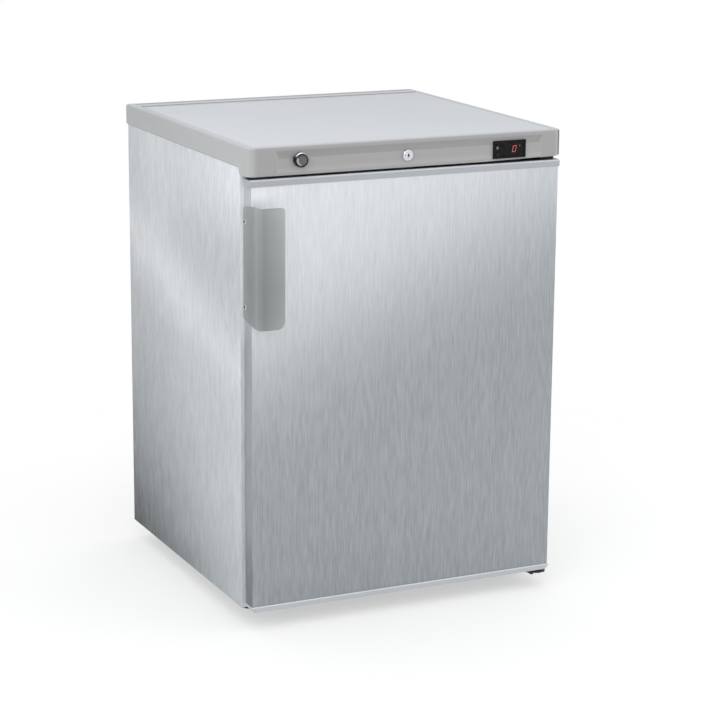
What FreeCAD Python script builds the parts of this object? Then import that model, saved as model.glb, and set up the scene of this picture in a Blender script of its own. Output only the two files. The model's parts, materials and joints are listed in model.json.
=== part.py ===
import FreeCAD, Part
import math
import os
import Sketcher
from FreeCAD import Placement, Rotation, Vector

# Undercounter refrigerator with a moulded worktop, one right-hinged steel door,
# an insulated cabinet, wire shelves and the refrigeration circuit at the rear.
# Frame: +X to the right seen from the front, +Y to the rear, +Z up, millimetres.
# Origin: on the floor, under the centre of the outline (handle front to worktop rear).

os.makedirs("parts", exist_ok=True)
doc = FreeCAD.newDocument("UndercounterRefrigerator")
sheet = doc.addObject("Spreadsheet::Sheet", "Params")
nodes = {}  # label -> object written to its own file


class Dim:
    """A dimension: its number and the spreadsheet expression it comes from."""

    def __init__(self, value, formula=None):
        self.value = float(value)
        self.formula = formula or "(%.6f)" % self.value

    def joined(self, sign, other, value):
        return Dim(value, "(%s %s %s)" % (self.formula, sign, other.formula))

    def __add__(self, other):
        other = dim(other)
        return self.joined("+", other, self.value + other.value)

    def __radd__(self, other):
        return dim(other) + self

    def __sub__(self, other):
        other = dim(other)
        return self.joined("-", other, self.value - other.value)

    def __rsub__(self, other):
        return dim(other) - self

    def __mul__(self, other):
        other = dim(other)
        return self.joined("*", other, self.value * other.value)

    def __rmul__(self, other):
        return dim(other) * self

    def __truediv__(self, other):
        other = dim(other)
        return self.joined("/", other, self.value / other.value)

    def __neg__(self):
        return Dim(-self.value, "(0 - %s)" % self.formula)


def dim(number):
    return number if isinstance(number, Dim) else Dim(number)


sheet_rows = []


def param(name, value):
    """Write a driving dimension to the next row of the sheet, under its alias."""
    sheet_rows.append(name)
    row = str(len(sheet_rows))
    sheet.set("A" + row, name)
    sheet.set("B" + row, "%g" % value)
    sheet.setAlias("B" + row, name)
    return Dim(value, "Params." + name)


# ---- driving dimensions -------------------------------------------------
width = param("width", 600)
depth = param("depth", 600)
height = param("height", 850)
top_front = param("worktop_front", -279)
band_low = param("band_low", 813)
apron_low = param("apron_low", 801)
apron_back = param("apron_back", -243)
top_wall = param("worktop_wall", 3)
corner_radius = param("corner_radius", 16)
edge_radius = param("edge_radius", 4.5)
border = param("border", 14)
border_rear = param("border_rear", 62)
recess = param("fascia_recess", 1.8)
slope = param("recess_slope", 13)
slope_end = param("recess_end_slope", 6)
cab_half = param("cabinet_half", 299)
cab_front = param("cabinet_front", -241)
cab_rear = param("cabinet_rear", 311)
floor_gap = param("floor_gap", 34)
sheet_thick = param("sheet_thickness", 0.8)
flange = param("front_flange", 27)
foam_top = param("foam_top", 799)
back_y = param("back_panel_y", 262)
room_y = param("machine_room_y", 116)
room_z = param("machine_room_z", 236)
cav_half = param("cavity_half", 255)
cav_low = param("cavity_low", 80)
cav_high = param("cavity_high", 760)
cav_back = param("cavity_back", 205)
step_y = param("step_y", 80)
step_z = param("step_z", 272)
liner_wall = param("liner_wall", 2)
door_half = param("door_half", 294)
door_front = param("door_front", -277)
door_back = param("door_back", -249)
door_low = param("door_low", 45)
door_high = param("door_high", 784.5)
trim_half = param("trim_half", 296.5)
trim_front = param("trim_front", -279.3)
trim_back = param("trim_back", -251)
trim_low = param("trim_low", 35.4)
trim_high = param("trim_high", 797)
hinge_x = param("hinge_x", 283)
hinge_y = param("hinge_y", -263)
pin_radius = param("hinge_pin_radius", 4)
bush_radius = param("hinge_bush_radius", 6.5)
gasket_half = param("gasket_half", 280)
gasket_width = param("gasket_width", 14)
grip_low = param("handle_low", 548)
grip_high = param("handle_high", 755)
grip_front = param("handle_front", -321)
grip_right = param("handle_right", -251)
grip_left = param("handle_left", -297.2)
grip_wall = param("handle_wall", 2.9)
switch_x = param("switch_x", -205.5)
switch_z = param("switch_z", 826.6)
lock_x = param("lock_x", -4.3)
lock_z = param("lock_z", 822)
ctrl_left = param("controller_left", 161.6)
ctrl_right = param("controller_right", 225.6)
ctrl_low = param("controller_low", 805.2)
ctrl_high = param("controller_high", 836)
foot_x = param("foot_x", 245)
foot_front_y = param("foot_front_y", -150)
foot_rear_y = param("foot_rear_y", 266)
foot_radius = param("foot_radius", 19)
stud_radius = param("foot_stud_radius", 5)
shelf_low = param("shelf_low", 288)
shelf_middle = param("shelf_middle", 448)
shelf_high = param("shelf_high", 608)
rod_radius = param("shelf_rod_radius", 2.6)
wire_radius = param("shelf_wire_radius", 1.5)
comp_y = param("compressor_y", 212)
comp_radius = param("compressor_radius", 62)
coil_y = param("condenser_y", 290)
tube_radius = param("condenser_tube_radius", 2.4)
fan_z = param("fan_z", 680)
suction_x = param("suction_x", 200)
capillary_x = param("capillary_x", 180)
pipe_z = param("pipe_z", 440)
drain_y = param("drain_y", 190)
doc.recompute()

# ---- places shared by several pieces --------------------------------------
half = width / 2
top_rear = top_front + depth
face_y = top_front + recess  # floor of the recess in the fascia
apron_round = 6  # radius of both arcs in the S behind the apron
inner = cab_half - sheet_thick
fit_half = inner - 0.3  # sheets and foam between the side panels
door_inner = door_half - sheet_thick
FEET = {
    "foot_front_left": (-foot_x, foot_front_y),
    "foot_front_right": (foot_x, foot_front_y),
    "foot_rear_left": (-foot_x, foot_rear_y),
    "foot_rear_right": (foot_x, foot_rear_y),
}


# ---- sketches -------------------------------------------------------------
def rect(x0, y0, x1, y1):
    return [(x0, y0), (x1, y0), (x1, y1), (x0, y1)]


def wide(half_width, low, high):
    """A rectangle centred on the first axis of the sketch."""
    return rect(-half_width, low, half_width, high)


def frame(half_width, low, high, rim):
    """The outer and inner rectangle of a rim of even width."""
    return wide(half_width, low, high), wide(half_width - rim, low + rim, high - rim)


def ring(x, y, radius):
    return ("circle", x, y, radius)


def constrain(sketch, kind, target, size):
    index = sketch.addConstraint(Sketcher.Constraint(kind, *target, size.value))
    sketch.setExpression("Constraints[%d]" % index, size.formula)


def fix(sketch, edge, point, x, y):
    """Hold a point of an edge at its distances from the sketch origin."""
    constrain(sketch, "DistanceX", (-1, 1, edge, point), x)
    constrain(sketch, "DistanceY", (-1, 1, edge, point), y)


def flat_circle(x, y, radius):
    return Part.Circle(Vector(x.value, y.value, 0), Vector(0, 0, 1), radius.value)


def draw_circle(sketch, x, y, radius):
    x, y, radius = dim(x), dim(y), dim(radius)
    edge = sketch.addGeometry(flat_circle(x, y, radius), False)
    fix(sketch, edge, 3, x, y)
    constrain(sketch, "Radius", (edge,), radius)


def draw_arc(sketch, start, stop, x, y, radius, ccw):
    """Add an arc and return (edge, point) of its start and its stop."""
    x, y, radius = dim(x), dim(y), dim(radius)
    first = math.atan2(start[1].value - y.value, start[0].value - x.value)
    last = math.atan2(stop[1].value - y.value, stop[0].value - x.value)
    if not ccw:
        first, last = last, first
    if last < first:
        last += 2 * math.pi
    arc = Part.ArcOfCircle(flat_circle(x, y, radius), first, last)
    edge = sketch.addGeometry(arc, False)
    constrain(sketch, "Radius", (edge,), radius)
    return ((edge, 1), (edge, 2)) if ccw else ((edge, 2), (edge, 1))


def draw_outline(sketch, loop):
    corners = [(dim(corner[0]), dim(corner[1])) for corner in loop]
    joints = []
    for i, start in enumerate(corners):
        stop = corners[(i + 1) % len(corners)]
        if len(loop[i]) > 2:
            joints.append(draw_arc(sketch, start, stop, *loop[i][2]))
        else:
            line = Part.LineSegment(Vector(start[0].value, start[1].value, 0),
                                    Vector(stop[0].value, stop[1].value, 0))
            edge = sketch.addGeometry(line, False)
            joints.append(((edge, 1), (edge, 2)))
    for i, (_, stop) in enumerate(joints):
        following = joints[(i + 1) % len(joints)][0]
        sketch.addConstraint(Sketcher.Constraint("Coincident", *stop, *following))
    for (start, _), corner in zip(joints, corners):
        fix(sketch, *start, *corner)


def draw(sketch, loops):
    """Closed loops: a circle, or corner points where a third value
    (centre x, centre y, radius, ccw) makes the edge that leaves the corner an arc."""
    for loop in loops:
        if loop[0] == "circle":
            draw_circle(sketch, *loop[1:])
        else:
            draw_outline(sketch, loop)


# ---- bodies ---------------------------------------------------------------
class Piece:
    """A PartDesign body built from sketches on its own origin planes."""

    def __init__(self, label, exported=True):
        self.label = label
        self.body = doc.addObject("PartDesign::Body", "Body_" + label)
        self.body.Label = label
        self.count = 0
        if exported:
            nodes[label] = self.body

    def add(self, kind, name):
        self.count += 1
        return self.body.newObject(kind, "%s_%s%02d" % (self.label, name, self.count))

    def sketch(self, plane, x=0, y=0, z=0):
        """A sketch on the XY, XZ or YZ plane, its origin moved to (x, y, z) of that plane."""
        sketch = self.add("Sketcher::SketchObject", "sketch")
        role = plane + "_Plane"
        face = [f for f in self.body.Origin.OriginFeatures if f.Role == role][0]
        sketch.AttachmentSupport = [(face, "")]
        sketch.MapMode = "FlatFace"
        x, y, z = dim(x), dim(y), dim(z)
        sketch.AttachmentOffset = Placement(Vector(x.value, y.value, z.value), Rotation())
        for axis, place in (("x", x), ("y", y), ("z", z)):
            if place.value != 0:
                sketch.setExpression("AttachmentOffset.Base." + axis, place.formula)
        return sketch

    def volume(self):
        shape = self.body.Shape
        return 0.0 if shape.isNull() else shape.Volume

    def check(self, before, grows):
        """Recompute, and stop if the last feature added or removed nothing."""
        doc.recompute()
        after = self.body.Shape.Volume
        if (after <= before + 1e-6) if grows else (after >= before - 1e-6):
            raise RuntimeError("%s: feature %d changed nothing (%g -> %g)" % (
                self.label, self.count, before, after))

    def extrude(self, kind, sketch, length, grows):
        before = self.volume()
        feature = self.add("PartDesign::" + kind, kind.lower())
        feature.Profile = sketch
        feature.Length = length.value
        feature.setExpression("Length", length.formula)
        sketch.Visibility = False
        self.check(before, grows)

    # The XZ plane faces -Y, so places along it change sign.
    def pad(self, plane, low, high, *loops):
        """A block between two positions along the axis normal to the plane."""
        low, high = dim(low), dim(high)
        sketch = self.sketch(plane, z=-high if plane == "XZ" else low)
        draw(sketch, loops)
        self.extrude("Pad", sketch, high - low, True)

    def pocket(self, plane, low, high, *loops):
        """A cut between two positions along the axis normal to the plane."""
        low, high = dim(low), dim(high)
        sketch = self.sketch(plane, z=-low if plane == "XZ" else high)
        draw(sketch, loops)
        self.extrude("Pocket", sketch, high - low, False)

    def turn(self, axis, x, across, outline):
        """A turned piece about Z through (x, y) or about Y through (x, z).

        The outline holds (radius, place along the axis)."""
        if axis == "Z":
            sketch = self.sketch("XZ", x=x, z=-dim(across))
        else:
            sketch = self.sketch("XY", x=x, z=across)
        draw(sketch, [outline])
        before = self.volume()
        feature = self.add("PartDesign::Revolution", "turn")
        feature.Profile = sketch
        feature.ReferenceAxis = (sketch, ["V_Axis"])
        feature.Angle = 360
        sketch.Visibility = False
        self.check(before, True)

    def funnel(self, front, rear, front_loop, rear_loop):
        """A cut along Y that changes from one outline to another."""
        pair = []
        for place, loop in ((front, front_loop), (rear, rear_loop)):
            sketch = self.sketch("XZ", z=-place)
            draw(sketch, [loop])
            sketch.Visibility = False
            pair.append(sketch)
        before = self.volume()
        feature = self.add("PartDesign::SubtractiveLoft", "loft")
        feature.Profile = pair[0]
        feature.Sections = [pair[1]]
        feature.Ruled = True
        self.check(before, False)

    def dress(self, kind, size, test):
        """A Fillet or Chamfer on every edge of the tip that passes the test."""
        tip = self.body.Tip
        names = ["Edge%d" % (i + 1) for i, e in enumerate(tip.Shape.Edges) if test(e)]
        if not names:
            raise RuntimeError("%s: no edge to dress" % self.label)
        feature = self.add("PartDesign::" + kind, kind.lower())
        feature.Base = (tip, names)
        bind(feature, **{"Radius" if kind == "Fillet" else "Size": size})
        doc.recompute()
        if feature.Shape.isNull() or not feature.Shape.isValid():
            raise RuntimeError("%s: %s failed" % (self.label, kind))


def ends(edge):
    return [vertex.Point for vertex in edge.Vertexes]


def along(edge, axis):
    points = ends(edge)
    if len(points) != 2:
        return False
    run = points[1] - points[0]
    return abs(abs(getattr(run, axis)) - run.Length) < 1e-6 and run.Length > 1e-6


def at(edge, **places):
    return all(abs(getattr(point, axis) - place) < 1e-4
               for point in ends(edge) for axis, place in places.items())


def at_side(edge, half_width, tolerance=1e-4):
    """True where the edge starts at this distance left or right of the middle."""
    return abs(abs(ends(edge)[0].x) - half_width.value) < tolerance


# ---- solids ---------------------------------------------------------------
UP = Rotation()
BACK = Rotation(Vector(1, 0, 0), -90)
RIGHT = Rotation(Vector(0, 1, 0), 90)
LEFT = Rotation(Vector(0, 1, 0), -90)
SIDES = (-1, 1)
used_names = []


def unique(stem):
    used_names.append(stem)
    return "%s_%03d" % (stem, len(used_names))


def bind(obj, **sizes):
    for prop, size in sizes.items():
        size = dim(size)
        setattr(obj, prop, size.value)
        obj.setExpression(prop, size.formula)


def place_at(obj, x, y, z, rotation=UP):
    x, y, z = dim(x), dim(y), dim(z)
    obj.Placement = Placement(Vector(x.value, y.value, z.value), rotation)
    for axis, place in (("x", x), ("y", y), ("z", z)):
        obj.setExpression("Placement.Base." + axis, place.formula)
    return obj


def solid(kind, stem, **sizes):
    obj = doc.addObject("Part::" + kind, unique(stem))
    bind(obj, **sizes)
    return obj


def rod(radius, length, x, y, z, rotation=UP):
    return place_at(solid("Cylinder", "rod", Radius=radius, Height=length), x, y, z, rotation)


def cone(radius1, radius2, length, x, y, z, rotation=UP):
    obj = solid("Cone", "cone", Radius1=radius1, Radius2=radius2, Height=length)
    return place_at(obj, x, y, z, rotation)


def block(x0, y0, z0, x1, y1, z1):
    return place_at(solid("Box", "block", Length=x1 - x0, Width=y1 - y0, Height=z1 - z0),
                    x0, y0, z0)


def combine(kind, label, shapes):
    obj = doc.addObject("Part::" + kind, "Set_" + label)
    obj.Label = label
    if kind == "Compound":
        obj.Links = shapes
    else:
        obj.Shapes = shapes
    for shape in shapes:
        shape.Visibility = False
    doc.recompute()
    return obj


def fuse(label, shapes):
    return combine("MultiFuse", label, shapes)


def less(label, base, tool):
    obj = doc.addObject("Part::Cut", "Cut_" + label)
    obj.Label = label
    obj.Base = base
    obj.Tool = tool
    doc.recompute()
    return obj


def fused_node(label, shapes):
    nodes[label] = fuse(label, shapes)


def grouped_node(label, shapes):
    nodes[label] = combine("Compound", label, shapes)


def route(points, bend):
    """A wire through points with each corner rounded to the bend radius."""
    edges = []
    last = points[0]
    for before, corner, after in zip(points, points[1:], points[2:]):
        back = (before - corner).normalize()
        ahead = (after - corner).normalize()
        angle = back.getAngle(ahead)
        setback = bend / math.tan(angle / 2.0)
        start = corner + back * setback
        stop = corner + ahead * setback
        inward = (back + ahead).normalize()
        centre = corner + inward * (bend / math.sin(angle / 2.0))
        middle = centre + (corner - centre).normalize() * bend
        if (start - last).Length > 1e-3:
            edges.append(Part.makeLine(last, start))
        edges.append(Part.Arc(start, middle, stop).toShape())
        last = stop
    if (points[-1] - last).Length > 1e-3:
        edges.append(Part.makeLine(last, points[-1]))
    return Part.Wire(edges)


def swept(label, points, radius, bend):
    """A round section carried along a bent route."""
    wire = route([Vector(*[dim(place).value for place in point]) for point in points], bend)
    path = doc.addObject("Part::Feature", unique("route"))
    path.Shape = wire
    start = wire.Vertexes[0].Point
    edge = wire.Edges[0]
    heading = edge.tangentAt(edge.FirstParameter)
    if (edge.valueAt(edge.FirstParameter) - start).Length > 1e-3:
        heading = heading * -1
    section = solid("Circle", "section", Radius=radius)
    section.Placement = Placement(start, Rotation(Vector(0, 0, 1), heading))
    obj = doc.addObject("Part::Sweep", "Sweep_" + label)
    obj.Label = label
    obj.Sections = [section]
    obj.Spine = (path, ["Edge%d" % (i + 1) for i in range(len(wire.Edges))])
    obj.Solid = True
    obj.Frenet = False
    path.Visibility = False
    section.Visibility = False
    doc.recompute()
    return obj


def serpentine(start_x, stop_x, y, levels):
    """Points of a tube that runs across and back from level to level."""
    points = []
    for i, z in enumerate(levels):
        run = [(start_x, y, z), (stop_x, y, z)]
        points += run if i % 2 == 0 else run[::-1]
    return points


# ==== worktop ============================================================
# Moulded worktop: side band, deeper front fascia and a flat top with a recess for its inlay.
recess_left, recess_right = -249.5, 259
recess_low = apron_low - 20
recess_high = height - 7
top = Piece("worktop_frame")
top.pad("XY", band_low, height, wide(half, top_front, top_rear))
s_mid_z = apron_low + apron_round
s_rear_y = apron_back + 2 * apron_round
top.pad("YZ", -half, half, [
    (top_front, apron_low),
    (apron_back, apron_low, (apron_back, s_mid_z, apron_round, True)),
    (apron_back + apron_round, s_mid_z, (s_rear_y, s_mid_z, apron_round, False)),
    (s_rear_y, band_low), (s_rear_y, band_low + 4), (top_front, band_low + 4)])
top.dress("Fillet", corner_radius,
          lambda e: along(e, "z") and at(e, y=top_front.value) and at_side(e, half))
top.dress("Fillet", 4, lambda e: along(e, "z") and at(e, y=top_rear.value) and at_side(e, half))
top.dress("Fillet", edge_radius, lambda e: at(e, z=height.value))
top.dress("Fillet", 1.2, lambda e: at(e, y=top_front.value, z=apron_low.value))
# The lower edge rises a little towards the hinge side, so the slit over the door opens there.
top.pocket("XZ", top_front - 1, apron_back + 6.5, [
    (150, apron_low), (150, apron_low - 3), (302, apron_low - 3), (302, apron_low + 5),
    (286, apron_low + 2.3), (270, apron_low + 2)])
# Hollow from below, with its front corners cut off.
hollow = half - top_wall
top.pocket("XY", apron_low - 2, height - 6, [
    (-hollow, top_front + 15), (-hollow + 12, top_front + 3), (hollow - 12, top_front + 3),
    (hollow, top_front + 15), (hollow, top_rear - 3), (-hollow, top_rear - 3)])
# Seat of the inlay, then two grooves behind it.
top.pocket("XY", height - 3, height + 1,
           wide(half - border, top_front + border, top_rear - border_rear))
top.pocket("XY", height - 1.6, height + 1, wide(half - border, top_rear - 53, top_rear - 44))
top.pocket("XY", height - 1.0, height + 1, wide(half - border, top_rear - 20, top_rear - 14))
# Recess of the fascia, with a sloped upper edge and sloped ends.
top.funnel(top_front, face_y, rect(recess_left, recess_low, recess_right, recess_high),
           rect(slope_end + recess_left, recess_low, recess_right - slope_end,
                recess_high - slope))
top.pocket("XZ", top_front - 1, top_front + 8,
           ring(switch_x, switch_z, 10.1), ring(lock_x, lock_z, 8.1),
           rect(ctrl_left + 2.2, ctrl_low + 1.6, ctrl_right - 2.4, ctrl_high - 1.8))
# Flat seats for the collar of the switch, the rim of the lock and the bezel of the controller.
top.pocket("XZ", top_front - 1, face_y, ring(switch_x, switch_z, 12.8), ring(lock_x, lock_z, 9.7),
           rect(ctrl_left - 0.2, ctrl_low - 0.2, ctrl_right + 0.2, ctrl_high + 0.2))

# Inlay sheet of the worktop.
inlay_gap = 0.3
inlay = Piece("worktop_panel")
inlay.pad("XY", height - 2.9, height,
          wide(half - border - inlay_gap, top_front + border + inlay_gap,
               top_rear - border_rear - inlay_gap))
inlay.dress("Chamfer", 0.6, lambda e: at(e, z=height.value))


# ==== cabinet ============================================================
def side_panel(label, side):
    """Side sheet folded round the front and rear, cut out at the top front for the apron."""
    bend = 2.6
    gap = 0.4  # between the sheet and the worktop
    bend_x = side * (cab_half - bend)
    bend_y = cab_front + bend
    front_lip = side * (cab_half - flange)
    rear_lip = side * (cab_half - 14)
    panel = Piece(label)
    panel.pad("XY", floor_gap, band_low - gap, [
        (side * cab_half, bend_y, (bend_x, bend_y, bend, side < 0)),
        (bend_x, cab_front), (front_lip, cab_front), (front_lip, cab_front + sheet_thick),
        (bend_x, cab_front + sheet_thick, (bend_x, bend_y, bend - sheet_thick, side > 0)),
        (side * inner, bend_y), (side * inner, cab_rear - sheet_thick),
        (rear_lip, cab_rear - sheet_thick), (rear_lip, cab_rear), (side * cab_half, cab_rear)])
    low_x, high_x = sorted((side * (cab_half + 1), side * (cab_half - flange - 1)),
                           key=lambda place: place.value)
    panel.pocket("YZ", low_x, high_x, [
        (apron_back, apron_low - gap, (apron_back, s_mid_z, apron_round + gap, True)),
        (apron_back + apron_round + gap, s_mid_z, (s_rear_y, s_mid_z, apron_round - gap, False)),
        (s_rear_y, apron_low + 2 * apron_round - gap), (s_rear_y, band_low + 1),
        (apron_back, band_low + 1)])


side_panel("side_panel_left", -1)
side_panel("side_panel_right", 1)

# Galvanised back sheet with two upright ribs and the two pipe openings.
back = Piece("back_panel")
back.pad("XZ", back_y + 0.3, back_y + 1.1, wide(fit_half, room_z, foam_top))
back.pad("XZ", back_y + 1.1, back_y + 3.0,
         *[rect(left, room_z + 60, left + 20, foam_top - 40) for left in (-262, 222)])
back.pocket("XZ", back_y - 2, back_y + 6, ring(suction_x, pipe_z, 7), ring(capillary_x, pipe_z, 4))

# Bottom plate that carries the feet and the compressor.
base = Piece("base_plate")
base.pad("XY", floor_gap + 0.1, floor_gap + 1.3, wide(fit_half, cab_front + 2.5, cab_rear - 1.5))
base.pocket("XY", floor_gap - 1, floor_gap + 3,
            *[ring(x, y, stud_radius + 0.3) for x, y in FEET.values()])

# Sheet over the top insulation.
top_sheet = Piece("top_sheet")
top_sheet.pad("XY", foam_top + 0.4, foam_top + 1.2, wide(fit_half, cab_front + 2, back_y))

# Steel frame round the door opening.
front_frame = Piece("front_frame")
front_frame.pad("XZ", cab_front, cab_front + 1.2,
                wide(cab_half - flange - 0.3, floor_gap + 2, foam_top + 0.8),
                wide(cav_half + 11, cav_low - 10, cav_high + 10))

# Folded sheet that closes the machine compartment off from the insulation.
room_panel = Piece("machine_room_panel")
room_panel.pad("YZ", -(inner - 0.5), inner - 0.5, [
    (room_y + 0.3, floor_gap + 3), (room_y + 1.3, floor_gap + 3), (room_y + 1.3, room_z - 1.6),
    (back_y, room_z - 1.6), (back_y, room_z - 0.6), (room_y + 0.3, room_z - 0.6)])
room_panel.pocket("XY", room_z - 8, room_z + 2, ring(0, drain_y, 9))


def cavity(front, offset):
    """The (y, z) outline of the cavity with its rear step, grown by an offset."""
    return [(front, cav_low - offset), (step_y + offset, cav_low - offset),
            (step_y + offset, step_z - offset), (cav_back + offset, step_z - offset),
            (cav_back + offset, cav_high + offset), (front, cav_high + offset)]


# Insulation moulded round the liner, with the machine compartment left free at the lower rear.
foam = Piece("cabinet_foam")
foam.pad("YZ", -fit_half, fit_half, [
    (cab_front + 2.4, floor_gap + 2), (room_y, floor_gap + 2), (room_y, room_z),
    (back_y, room_z), (back_y, foam_top), (cab_front + 2.4, foam_top)])
foam_offset = liner_wall + 0.3
foam.pocket("YZ", -(cav_half + foam_offset), cav_half + foam_offset,
            cavity(cab_front - 1, foam_offset))
foam.pocket("XY", floor_gap - 1, floor_gap + 28,
            *[ring(side * foot_x, foot_front_y, 13) for side in SIDES])
foam.pocket("XZ", cav_back - 5, back_y + 5, ring(suction_x, pipe_z, 7),
            ring(capillary_x, pipe_z, 4))
foam.pocket("XY", room_z - 5, step_z + 5, ring(0, drain_y, 9))

# Thermoformed liner: lip, cavity with the compressor step, shelf ledges.
lip = 10.7
liner = Piece("cabinet_liner")
liner.pad("YZ", -(cav_half + liner_wall), cav_half + liner_wall, cavity(cab_front, liner_wall))
liner.pad("XZ", cab_front, cab_front + 2,
          wide(cav_half + lip, cav_low - (lip - 1), cav_high + (lip - 1)))
liner.pocket("YZ", -cav_half, cav_half, cavity(cab_front - 1, 0))
liner.dress("Fillet", 8,
            lambda e: along(e, "y") and at_side(e, cav_half, 1e-3) and e.Length > 100)


def ledge(side, z):
    """The (x, z) section of a shelf ledge, let 0.5 into the wall of the liner."""
    wall_x = side * (cav_half + 0.5)
    nose_x = side * (cav_half - 9)
    return [(wall_x, z - 9), (nose_x, z - 4), (nose_x, z), (wall_x, z)]


liner.pad("XZ", -216, 150, *[ledge(side, z) for z in (shelf_low, shelf_middle, shelf_high)
                             for side in SIDES])
liner.pocket("XY", step_z - 10, step_z + 5, ring(0, drain_y, 8))
liner.pocket("XZ", cav_back - 3, cav_back + 5, ring(suction_x, pipe_z, 6.5),
             ring(capillary_x, pipe_z, 4))

# ==== fascia fittings =====================================================
seat_y = face_y - 0.1  # rear of the collar, rim and bezel

# Round push switch: a deep collar with its barrel, and a broad cap with a bevelled rim.
switch = Piece("switch_body")
switch.turn("Y", switch_x, switch_z, [
    (0, -246), (9.9, -246), (9.9, seat_y), (12.6, seat_y), (12.6, -285.4), (11.4, -286.8),
    (10.3, -286.8), (10.3, -279.6), (8.7, -279.6), (8.7, -262), (0, -262)])
cap = Piece("switch_cap")
cap.turn("Y", switch_x, switch_z, [
    (0, -266), (8.5, -266), (8.5, -282.8), (10, -282.8), (10, -287.2), (7.4, -289.8),
    (0, -290.3)])

# Cam lock: body, plug with key slot, and the cam that drops into the door.
lock = Piece("lock_body")
lock.turn("Y", lock_x, lock_z, [
    (6.04, -262), (8, -262), (8, seat_y), (9.5, seat_y), (9.5, -280.8), (8.6, -281.7),
    (6.04, -281.7)])
plug = Piece("lock_plug")
plug.turn("Y", lock_x, lock_z, [
    (0, -256.5), (3.5, -256.5), (3.5, -261.6), (5.98, -261.6), (5.98, -282), (5.5, -282.5),
    (0, -282.5)])
# (x, z) from the lock's axis
KEY_SLOT = [
    (-1.1, 3.4), (-1.1, 0.7), (-2.2, 0.7), (-2.2, -1.1), (-0.8, -1.1), (-0.8, -3.4),
    (1, -3.4), (1, -0.9), (1.8, -0.9), (1.8, 0.9), (0.9, 0.9), (0.9, 3.4)]
plug.pocket("XZ", -283, -274, [(lock_x + x, lock_z + z) for x, z in KEY_SLOT])
cam_round = 6
cam_x = lock_x + 26  # centre of the cam's right end
cam = Piece("lock_cam")
cam.pad("XZ", -260.8, -258.8, [
    (lock_x, lock_z - cam_round),
    (cam_x, lock_z - cam_round, (cam_x, lock_z, cam_round, True)),
    (cam_x + cam_round, lock_z, (cam_x, lock_z, cam_round, True)),
    (cam_x, lock_z + cam_round),
    (lock_x, lock_z + cam_round, (lock_x, lock_z, cam_round, True)),
    (lock_x - cam_round, lock_z, (lock_x, lock_z, cam_round, True))],
    ring(lock_x, lock_z, 3.55))

# Controller: housing behind a black bezel, window, display module and two keys.
bezel_front = -280.8
housing = Piece("controller_housing")
housing.pad("XZ", bezel_front, seat_y, rect(ctrl_left, ctrl_low, ctrl_right, ctrl_high))
housing.pad("XZ", seat_y, -222,
            rect(ctrl_left + 2.4, ctrl_low + 1.9, ctrl_right - 2.6, ctrl_high - 2.1))
housing.dress("Fillet", 1, lambda e: at(e, y=bezel_front))
housing.pocket("XZ", -281.5, -273,
               rect(ctrl_left + 3.2, ctrl_low + 3.2, ctrl_right - 3.4, ctrl_high - 3.2))
key_x = ctrl_left + 7.6
KEYS = {"controller_key_set": ctrl_high - 11.7, "controller_key_down": ctrl_low + 7}
lens = Piece("controller_lens")
lens.pad("XZ", -280.3, -279.1,
         rect(ctrl_left + 3.4, ctrl_low + 3.4, ctrl_right - 3.6, ctrl_high - 3.4),
         *[ring(key_x, key_z, 2.7) for key_z in KEYS.values()])
display = Piece("controller_display")
display.pad("XZ", -278.6, -273.1,
            rect(ctrl_left + 13, ctrl_low + 4.5, ctrl_right - 4.5, ctrl_high - 4.5))
for label, key_z in KEYS.items():
    key = Piece(label)
    key.turn("Y", key_x, key_z, [
        (0, -275.2), (3.4, -275.2), (3.4, -278.6), (2.5, -278.6), (2.5, -280.9), (2.1, -281.3),
        (0, -281.3)])

# ==== hinges ==============================================================
bracket_y = cab_front - 0.1  # rear of both brackets
bracket_left = 246
HINGE_SCREW_X = (254, 270)
LOW_SCREW_Z, HIGH_SCREW_Z = 42, 792


def hinge_bracket(label, right, plate, leaf, nose, screw_z, wedge=None):
    """A level plate for the pin and an upright leaf; plate and leaf are z ranges."""
    bracket = Piece(label)
    bracket.pad("XY", *plate, [(bracket_left, bracket_y), (bracket_left, -247), (262, -268),
                               *nose, (right, bracket_y)])
    bracket.pad("XZ", bracket_y - 2.5, bracket_y, rect(bracket_left, leaf[0], right, leaf[1]))
    if wedge:
        bracket.pad("XZ", -269, -254, wedge)
    bracket.pocket("XY", plate[0] - 3, plate[1] + 4, ring(hinge_x, hinge_y, pin_radius + 0.05))
    bracket.pocket("XZ", bracket_y - 5, bracket_y + 3,
                   *[ring(x, screw_z, 2.3) for x in HINGE_SCREW_X])


hinge_bracket("hinge_bracket_lower", right=294, plate=(28, 31), leaf=(28, 52),
              nose=[(272, -275), (290, -275), (294, -270)], screw_z=LOW_SCREW_Z,
              wedge=[(255, 31), (264, 25), (270, 24), (270, 31)])
hinge_bracket("hinge_bracket_upper", right=289, plate=(798, 800.6), leaf=(786, 800.6),
              nose=[(274, -272), (286, -272), (289, -268)], screw_z=HIGH_SCREW_Z)

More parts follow.
